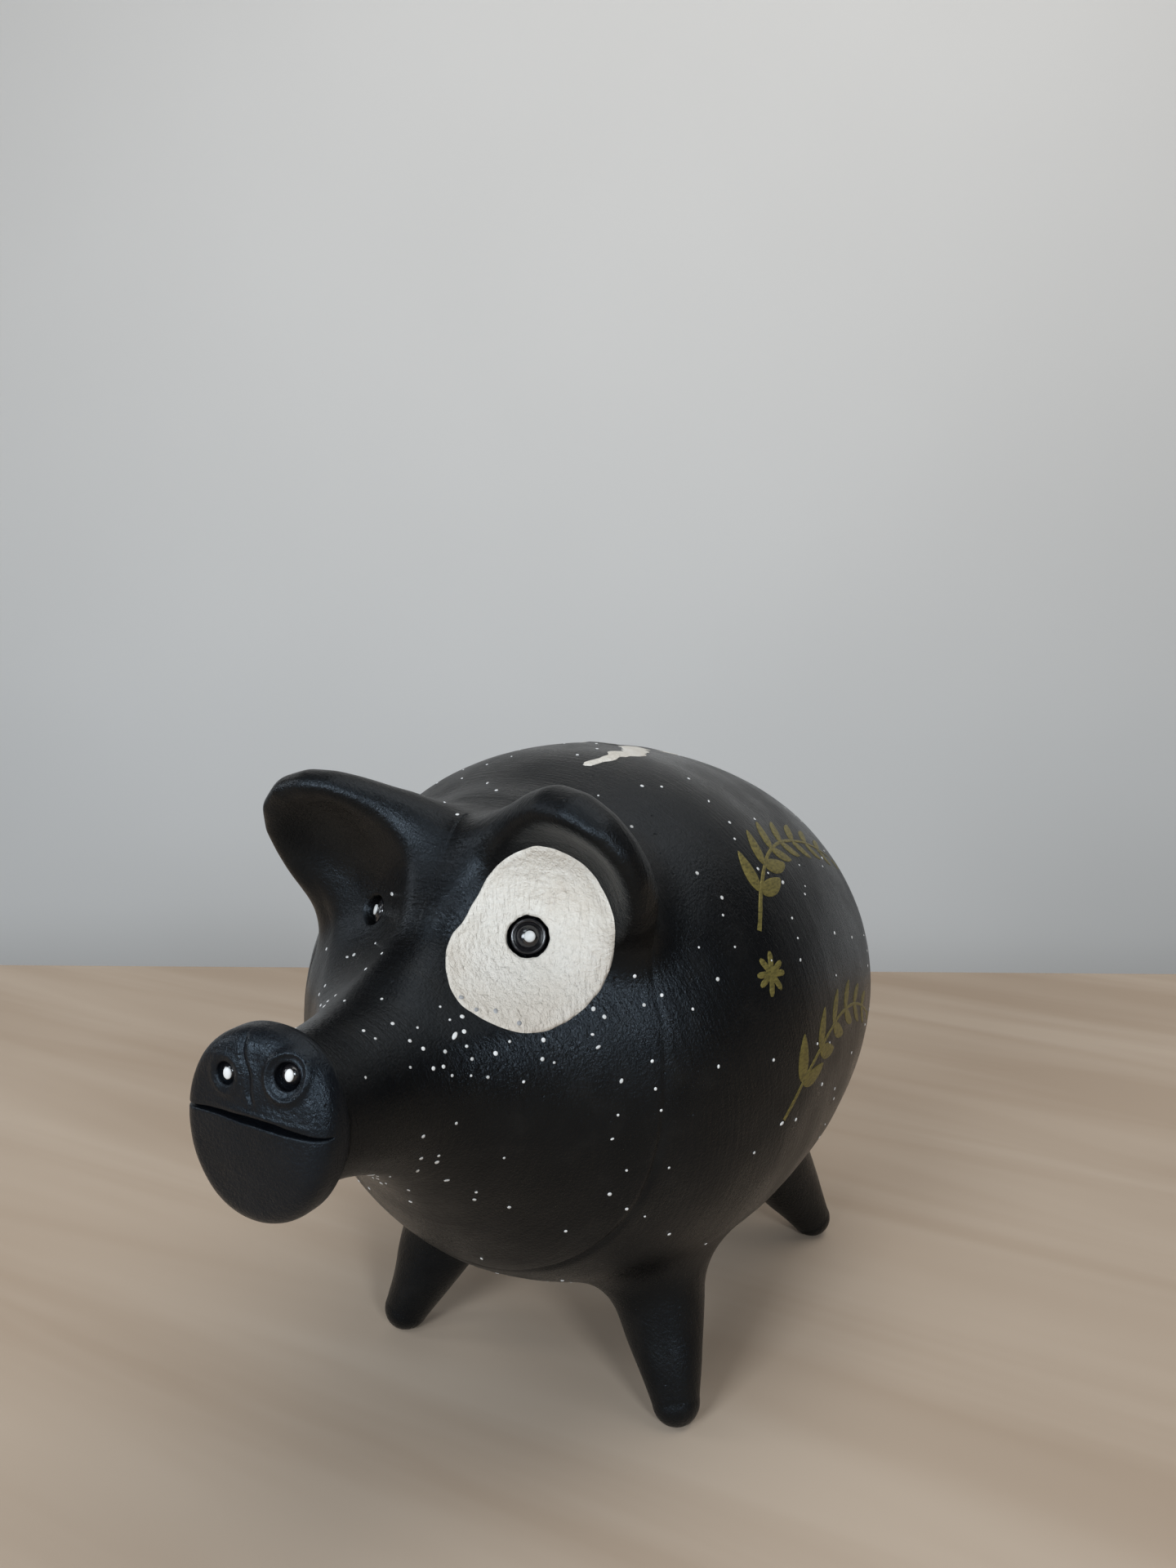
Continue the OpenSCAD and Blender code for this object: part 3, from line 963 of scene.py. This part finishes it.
def build_eyes():
    for side, node in ((1, "left_eye"), (-1, "right_eye")):
        at, out, size = EYES[side]
        profile = np.array([(-2.1, 0), *EYE_PROFILE, (0.93, 0)]) * size
        button = lathe(node + "_button", profile, 64, turned_about(at, out))
        place_piece(dressed(button, GLOSS), node)
        catch = at + out * 0.8 + np.array([0.35, 0, 0.1])
        dot = lathe(node + "_catchlight", PUPIL_PROFILE, 32, turned_about(catch, out))
        place_piece(dressed(dot, WHITE))


def build_beads():
    looks = (unit((0.30, -0.9, 0.22)), unit((0.22, -0.96, 0.05)))
    for (nx, up, pit, *_), name, look in zip(NOSTRILS, ("left", "right"), looks):
        r = pit * 0.80
        at = np.array([nx + 0.05, face_y(nx, NOSTRIL_Z) + r + 0.15, NOSTRIL_Z + up])
        bead = lathe(name + "_nostril_bead", ball_profile(r, 0.1, 24), 40,
                     turned_about(at, (0, -1, 0)))
        place_piece(dressed(bead, GLOSS))
        glint = lathe(name + "_nostril_glint", [(a * 0.8, q * 0.92) for a, q in PUPIL_PROFILE], 28,
                      turned_about(at + look * (r - 0.05), look, 0.72))
        place_piece(dressed(glint, WHITE))


build_eyes()
build_beads()


# ---- paint that lies on the clay
def coat(name, base, height, material, wrap=False, under=0.3, field=clay):
    """Closed coats of paint over grids of points on the clay: base is (coats, rows, columns, 3).

    height is how far the paint stands off the clay at each point. With wrap the columns go round.
    """
    n, rows, cols = base.shape[:3]
    flat = base.reshape(-1, 3)
    normal = slope(flat, 0.3, field)
    top = flat + normal * np.broadcast_to(height, base.shape[:3]).reshape(-1, 1)
    points = np.concatenate([top, flat - normal * under])
    index = np.arange(n * rows * cols).reshape(n, rows, cols)
    if wrap:
        index = np.concatenate([index, index[:, :, :1]], 2)
    low = index + n * rows * cols

    def quads(a, b, c, d):
        return np.stack([a, b, c, d], -1).reshape(-1, 4)

    faces = [quads(index[:, :-1, :-1], index[:, :-1, 1:], index[:, 1:, 1:], index[:, 1:, :-1]),
             quads(low[:, :-1, :-1], low[:, 1:, :-1], low[:, 1:, 1:], low[:, :-1, 1:]),
             quads(index[:, 0, :-1], low[:, 0, :-1], low[:, 0, 1:], index[:, 0, 1:]),
             quads(index[:, -1, :-1], index[:, -1, 1:], low[:, -1, 1:], low[:, -1, :-1])]
    if not wrap:
        faces += [quads(index[:, :-1, 0], index[:, 1:, 0], low[:, 1:, 0], low[:, :-1, 0]),
                  quads(index[:, :-1, -1], low[:, :-1, -1], low[:, 1:, -1], index[:, 1:, -1])]
    ob = mesh_object(name, points, np.concatenate(faces))
    if volume_of(ob) < 0:
        ob.data.flip_normals()
    ob.data.set_sharp_from_angle(angle=PAINT_SHARP)
    return place_piece(dressed(ob, material))


def rounded(t):
    """Height of a brush stroke across its width: t is -1 to 1."""
    return np.sqrt(np.clip(1 - np.abs(t) ** 4, 0, 1))


U_AXIS = unit(np.cross((0, 0, 1), EYE_OUT))
V_AXIS = np.cross(EYE_OUT, U_AXIS)
# The cream patch's edge round the eye: angle in degrees from U_AXIS to V_AXIS, and radius
PATCH_EDGE = [(6, 17.3), (34, 17.4), (60, 17.7), (85, 17.6), (109, 15.9), (133, 13.7),
              (150, 12.9), (168, 13.4), (182, 15.5), (202, 17.1), (224, 18.1), (247, 17.9),
              (271, 18.6), (288, 18.6), (309, 18.1), (337, 17.7)]


def on_eye_plane(u, v, side=1, lift=14.0):
    """The points of the clay in front of the plane round an eye, u to the left and v up."""
    p = EYE + EYE_OUT * lift + np.multiply.outer(u, U_AXIS) + np.multiply.outer(v, V_AXIS)
    mirror = np.array([side, 1, 1])
    return settle(p.reshape(-1, 3) * mirror, EYE_OUT * mirror).reshape(p.shape)


def build_eye_patch():
    """The patch stops at the eye's socket and thins out to a ragged, brushed edge."""
    turns = all_round(240)
    loop = np.array([PATCH_EDGE[-1], *PATCH_EDGE, *PATCH_EDGE[:2]], float)
    loop[:, 0] = np.unwrap(np.radians(loop[:, 0])) - 2 * math.pi
    fine = catmull(loop, 10)
    edge = np.interp(turns, fine[:, 0], fine[:, 1], period=2 * math.pi)
    edge = edge + 0.16 * ring_lumps(turns, 30, 4.0)
    rings = np.r_[0, np.linspace(0.03, 0.97, 46), 1]
    inner = 4.35 + 0.15 * ring_lumps(turns, 9, 2.5)
    r = inner + (edge - inner) * rings[:, None]
    u, v = r * np.cos(turns), r * np.sin(turns)
    base = on_eye_plane(u, v)
    out = np.minimum((edge - r) / 0.55, (r - inner) / 0.3)
    body = np.sqrt(np.clip(out, 0, 1))
    stroke = (u * 0.55 + v * 0.8) + 1.5 * flat_lumps(u, v, 9)
    ridges = 0.10 * flat_lumps(stroke, (u - v) * 0.22, 0.85) + 0.13 * flat_lumps(u, v, 2.6, 5)
    ridges += 0.08 * flat_lumps(u * 1.6 + v, v * 0.5, 1.1, 9)
    height = 0.02 + body * (0.28 + ridges) + 0.08 * np.exp(-((edge - r - 0.9) / 0.6) ** 2)
    coat("cream_eye_patch", base[None], height[None], CREAM, wrap=True)


def on_body(a, angle, lift=7.0, field=clay):
    """The points of the clay at a along the axis, seen from angle (degrees) off the top."""
    angle = np.radians(angle)
    r = np.interp(a, OUTLINE[:, 0], OUTLINE[:, 1]) + lift
    p = off_axis(a, angle, r)
    out = off_axis(a, angle, r + 1.0) - p
    shape = p.shape
    return settle(p.reshape(-1, 3), out.reshape(-1, 3), field).reshape(shape)


def ribbon(line, width, field=clay):
    """Points across a stroke on the body: line is (n, 2) of mm along and mm round from the top."""
    step = np.gradient(line, axis=0)
    side = np.stack([-step[:, 1], step[:, 0]], 1)
    side = side / (np.linalg.norm(step, axis=1, keepdims=True) + 1e-9)
    across = np.array([-1, -0.85, -0.5, 0, 0.5, 0.85, 1])
    flat = line[:, None, :] + side[:, None, :] * (width[:, None] / 2 * across)[:, :, None]
    base = on_body(flat[..., 0], np.degrees(flat[..., 1] / BELLY_R), field=field)
    return base, rounded(across * 0.98) * 0.10 + 0.015


def brushed(lines, width):
    """Brush strokes with as many rows each: lines is (strokes, rows, 2), width (strokes, rows)."""
    bases, heights = (np.stack(made) for made in zip(*map(ribbon, lines, width)))
    t = np.linspace(0, 1, lines.shape[1])
    ends = np.clip(np.minimum(t, 1 - t) * 14, 0.12, 1)[None, :, None]
    return bases, heights[:, None] * ends


def leaf(root, way, length, bend):
    """A leaf's middle line from its root; it sets out along way and turns by bend (radians)."""
    t = np.linspace(0, 1, 26)
    q = way + bend * t
    step = np.stack([np.cos(q), np.sin(q)], 1) * length / (len(t) - 1)
    return root + np.cumsum(step, axis=0)


def build_gold():
    """Two leafy sprigs painted along the left flank, and a little star in front of them."""
    def row(degrees):
        return math.radians(degrees) * BELLY_R

    t = np.linspace(0, 1, 26)
    leaf_shape = np.sin(math.pi * t ** 0.75) ** 0.75
    rows = (
        ([(-24, 62), (-17, 54.5), (-7, 49), (5, 46.5), (18, 46.5), (32, 48.5), (46, 52.5)], 7),
        ([(-20, 101), (-14, 93), (-5, 87.5), (6, 84.5), (18, 84), (30, 86), (42, 90)], 6),
    )
    for k, (stem, pairs) in enumerate(rows):
        line = even_curve([(a, row(around), 0.0) for a, around in stem], 110)[:, :2]
        wobble = 1 + 0.2 * flat_lumps(*line.T, 2.5)
        width = (1.1 - 0.5 * np.linspace(0, 1, len(line))) * wobble
        base, height = brushed(line[None], width[None])
        coat(f"gold_sprig_{k + 1}_stem", base, height, GOLD, under=0.2)
        leaves, widths = [], []
        for j in range(pairs):
            for hand in (1, -1):
                at = int(14 + j * 92 / pairs)
                step = line[at + 1] - line[at - 1]
                way = math.atan2(step[1], step[0]) + hand * rng.uniform(0.72, 0.82)
                length = (11.0 - 4.0 * j / (pairs - 1)) * rng.uniform(0.95, 1.05)
                leaves.append(leaf(line[at], way, length, -hand * rng.uniform(0.2, 0.35)))
                widths.append(leaf_shape * length * 0.36)
        tip = line[-1] - line[-4]
        leaves.append(leaf(line[-1], math.atan2(tip[1], tip[0]), 6.0, 0.3))
        widths.append(leaf_shape * 2.0)
        base, height = brushed(np.array(leaves), np.array(widths) + 0.12)
        coat(f"gold_sprig_{k + 1}_leaves", base, height, GOLD, under=0.2)
    star = np.array([-24.6, row(70.8)])
    rays = []
    for q, r in ((8, 4.2), (62, 4.6), (104, 5.2), (152, 4.4)):
        d = np.array([math.cos(math.radians(q)), math.sin(math.radians(q))]) * r
        rays.append(star + d * np.linspace(-1, 1, 26)[:, None])
    widths = np.full((4, 26), 1.5) * np.clip(np.minimum(t, 1 - t) * 6 + 0.45, 0, 1)
    base, height = brushed(np.array(rays), widths)
    coat("gold_star", base, height, GOLD, under=0.2)


def build_back_patch():
    """A ragged cream blot on the back with a run of paint forward from it."""
    turns = all_round(160)
    edge = 17 + 3.5 * ring_lumps(turns, 12, 7) + 1.2 * ring_lumps(turns, 20, 2.2, 3)
    rings = np.r_[0.01, np.linspace(0.05, 0.97, 36), 1]
    r = edge * rings[:, None]
    a = 30 + 1.35 * r * np.cos(turns)
    t = -8.5 + 0.85 * r * np.sin(turns)
    base = on_body(a, np.degrees(t / BELLY_R), field=uncut)
    body = np.sqrt(np.clip((edge - r) / 0.6, 0, 1))
    ridges = 0.05 * flat_lumps(a * 0.25, t, 0.9) + 0.04 * flat_lumps(a, t, 2.6)
    blot = coat("cream_back_patch", base[None], (0.02 + body * (0.2 + ridges))[None], CREAM,
                wrap=True, field=uncut)
    mid = catmull([(-24, 10.2), (-20, 11.6), (-16, 12.6), (-11, 12.2), (-6, 13.4), (-1, 11.5),
                   (5, 8.5), (12, 3.5)], 12)
    t = np.arange(len(mid)) / (len(mid) - 1)
    width = (2.6 + 7.5 * t ** 1.6) * (1 + 0.35 * flat_lumps(*mid.T, 2.6))
    width = width * np.clip(t / 0.05, 0.3, 1)
    base, height = ribbon(mid, width, uncut)
    height = np.broadcast_to(height * 2, base.shape[:2])
    run = coat("cream_back_run", base[None], height[None], CREAM, field=uncut)
    r = SLOT_R + 0.9
    opening = block("opening", (-r, SLOT_Y - SLOT_HALF, 140), (r, SLOT_Y + SLOT_HALF, 170))
    for y in (SLOT_Y - SLOT_HALF, SLOT_Y + SLOT_HALF):
        cut(opening, cylinder("end", (0, y, 155), r, 15, 64), "UNION")
    cut(blot, opening, keep=True)
    cut(run, opening)
    for ob in (blot, run):
        ob.data.set_sharp_from_angle(angle=PAINT_SHARP)


def discs(centres, radii, stretch, turn, name, material, rise=0.13):
    """Small blobs of paint; each is a round or stretched dot that bulges in the middle."""
    n = slope(centres, 0.3)
    across = np.cross(n, (0.3, 0.2, 1.0))
    across /= np.linalg.norm(across, axis=1, keepdims=True)
    over = np.cross(n, across)
    ring = np.array([0.04, 0.45, 0.8, 1.0])
    q = all_round(12)
    du = radii[:, None, None] * ring[:, None] * np.cos(q) * stretch[:, None, None]
    dv = radii[:, None, None] * ring[:, None] * np.sin(q)
    c, s = np.cos(turn)[:, None, None], np.sin(turn)[:, None, None]
    pu, pv = du * c - dv * s, du * s + dv * c
    base = (centres[:, None, None] + pu[..., None] * across[:, None, None]
            + pv[..., None] * over[:, None, None])
    flat = base.reshape(-1, 3)
    out = np.repeat(n, ring.size * q.size, axis=0)
    base = settle(flat, out).reshape(base.shape)
    height = rise * rounded(ring)[None, :, None] * np.ones(base.shape[:3])
    return coat(name, base, height, material, wrap=True, under=0.12)


def build_specks():
    """A spatter of white dots, thick below the eyes and thin over the rest."""
    patch_r, apart, largest_miss = 19.1, 1.9, 0.05
    parts = []
    for side, count, spread in ((1, 40, (11.0, 3.9)), (-1, 18, (10, 5))):
        u = rng.normal(-13 if side == 1 else -6, spread[0], count)
        v = rng.normal(-20.5, spread[1], count)
        keep = np.hypot(u, v) > patch_r + 0.1
        parts.append(on_eye_plane(u[keep], v[keep], side))
    count = 520
    a = rng.uniform(-92, 100, count)
    angle = rng.uniform(-180, 180, count)
    spot = on_body(a, angle)
    far = np.linalg.norm(spot - EYE, axis=1) > 22
    parts.append(spot[far & (rng.uniform(0, 1, count) < 0.42 + 0.45 * (spot[:, 2] > 75))])
    centres = np.concatenate(parts)
    good = np.abs(clay(*centres.T)) < largest_miss
    plane = centres - EYE
    uu, vv, dd = plane @ U_AXIS, plane @ V_AXIS, plane @ EYE_OUT
    good &= ~((np.hypot(uu, vv) < patch_r) & (centres[:, 0] > 0) & (dd > -12))
    good &= (centres[:, 2] > 12) & (centres[:, 1] > -128)
    good &= ((np.abs(centres[:, 0]) > SLOT_R + 2) | (np.abs(centres[:, 1] - SLOT_Y) > 22)
             | (centres[:, 2] < 100))
    keep = []
    for i in np.nonzero(good)[0]:
        if all(np.linalg.norm(centres[i] - centres[j]) > apart for j in keep):
            keep.append(i)
    centres = centres[keep]
    n = len(centres)
    radii = rng.uniform(0.24, 0.46, n)
    long_ones = rng.uniform(0, 1, n) < 0.12
    stretch = np.where(long_ones, rng.uniform(1.4, 2.1, n), rng.uniform(0.95, 1.15, n))
    discs(centres, radii, stretch, rng.uniform(0, 3.1, n), "white_specks", WHITE)
    faint = on_eye_plane(*np.array([(-12.6, -9.6, -5.9, -1.3), (-12.0, -14.3, -14.6, -16.8)]))
    discs(faint, np.full(4, 0.55), np.array([1.2, 1, 1.3, 1]), np.arange(4.0), "covered_specks",
          GREY, rise=0.52)


build_eye_patch()
build_back_patch()
build_gold()
build_specks()

stopper = frame["nodes"]["belly_stopper"]
dressed(stopper, RUBBER)

# ---- camera, light, floor
CAMERA_AT = Vector((0.13624, -0.25281, 0.19411))
VIEW_YAW, VIEW_PITCH, VIEW_ROLL = -27.63, 9.338, 0.44
SENSOR, LENS = 36, 27.04
TABLE_END = 0.30
SKY, SKY_STRENGTH = (0.62, 0.64, 0.66, 1), 0.12
DAYLIGHT = (0.84, 0.92, 1.0)
# Name, place, target, size in metres, watts and colour of each area light
LIGHTS = (
    ("window", (0.98, -0.85, 0.56), (0, -0.05, 0.1), (0.24, 0.28), 8.8, DAYLIGHT),
    ("front_window", (-0.12, -1.24, 0.52), (0, 0, 0.08), (0.40, 0.40), 13, DAYLIGHT),
    ("high_window", (-0.20, -0.90, 1.30), (0, 0, 0.08), (0.45, 0.25), 3, DAYLIGHT),
    ("side_window", (-1.20, -0.50, 0.60), (0, 0, 0.08), (0.30, 0.45), 2.8, (0.88, 0.94, 1.0)),
    ("ceiling", (0.45, 0.25, 1.7), (0.1, 0.1, 0.0), (1.5, 1.5), 17, (1.0, 0.98, 0.95)),
)


def direction(yaw, pitch):
    """Where a camera looks: yaw in degrees from +Y towards +X, pitch in degrees down."""
    yaw, pitch = math.radians(yaw), math.radians(pitch)
    return Vector((math.sin(yaw) * math.cos(pitch), math.cos(yaw) * math.cos(pitch),
                   -math.sin(pitch)))


def slab(name, across, ahead, height, material):
    """A block on the stage; its reach is sideways, forwards as the camera looks, and upwards."""
    forward, side = direction(VIEW_YAW, 0), direction(VIEW_YAW + 90, 0)
    pts = [side * u + forward * v + Vector((0, 0, w))
           for u, v, w in itertools.product(across, ahead, height)]
    me = bpy.data.meshes.new(name)
    me.from_pydata([tuple(p) for p in pts], [], BOX_FACES)
    me.materials.append(material)
    linked(bpy.data.objects.new(name, me))


def stage():
    """A pale table top that ends behind the pig, and a plain wall well behind it."""
    m = Nodes("table_pale")
    grain = m.streaks((2.5, 24, 2.5), (0, 0, 0.1), 3.0, 0.5, 0.6)
    colour = m.ramp(grain, [(0.35, (0.358, 0.277, 0.207)), (0.65, (0.426, 0.344, 0.269))])
    table = m.surface(Base_Color=colour, Roughness=m.level(grain, 0.6, 0.7),
                      Specular_IOR_Level=0.08)
    slab("floor", (-3, 3), (-3, TABLE_END), (-0.03, 0), table)
    w = Nodes("wall_pale")
    colour = w.ramp(w.noise(2.0, 2.0), [(0.3, (0.80, 0.785, 0.76)), (0.7, (0.83, 0.815, 0.79))])
    plain = w.surface(Base_Color=colour, Roughness=0.9)
    slab("wall", (-4, 4), (TABLE_END + 0.9, TABLE_END + 0.95), (-2, 3), plain)


def area(name, location, target, size, power, colour):
    light = bpy.data.lights.new(name, "AREA")
    light.shape = "RECTANGLE"
    light.size, light.size_y = size
    light.energy = power
    light.color = colour
    ob = linked(bpy.data.objects.new(name, light))
    ob.location = location
    ob.rotation_euler = (Vector(target) - Vector(location)).to_track_quat("-Z", "Y").to_euler()
    ob.visible_camera = False


def light_and_camera():
    for light in LIGHTS:
        area(*light)
    scene = bpy.context.scene
    scene.world = bpy.data.worlds.new("room")
    scene.world.use_nodes = True
    sky = scene.world.node_tree.nodes["Background"]
    sky.inputs["Color"].default_value, sky.inputs["Strength"].default_value = SKY, SKY_STRENGTH
    scene.view_settings.view_transform = "Standard"
    cam = bpy.data.cameras.new("camera")
    cam.sensor_width, cam.lens = SENSOR, LENS
    ob = linked(bpy.data.objects.new("camera", cam))
    forward = direction(VIEW_YAW, VIEW_PITCH)
    side = direction(VIEW_YAW + 90, 0)
    over = side.cross(forward)
    tip = math.radians(VIEW_ROLL)
    right = math.cos(tip) * side + math.sin(tip) * over
    up = -math.sin(tip) * side + math.cos(tip) * over
    turn = Matrix((right, up, -forward)).transposed().to_4x4()
    ob.matrix_world = Matrix.Translation(CAMERA_AT) @ turn
    scene.camera = ob


stage()
light_and_camera()
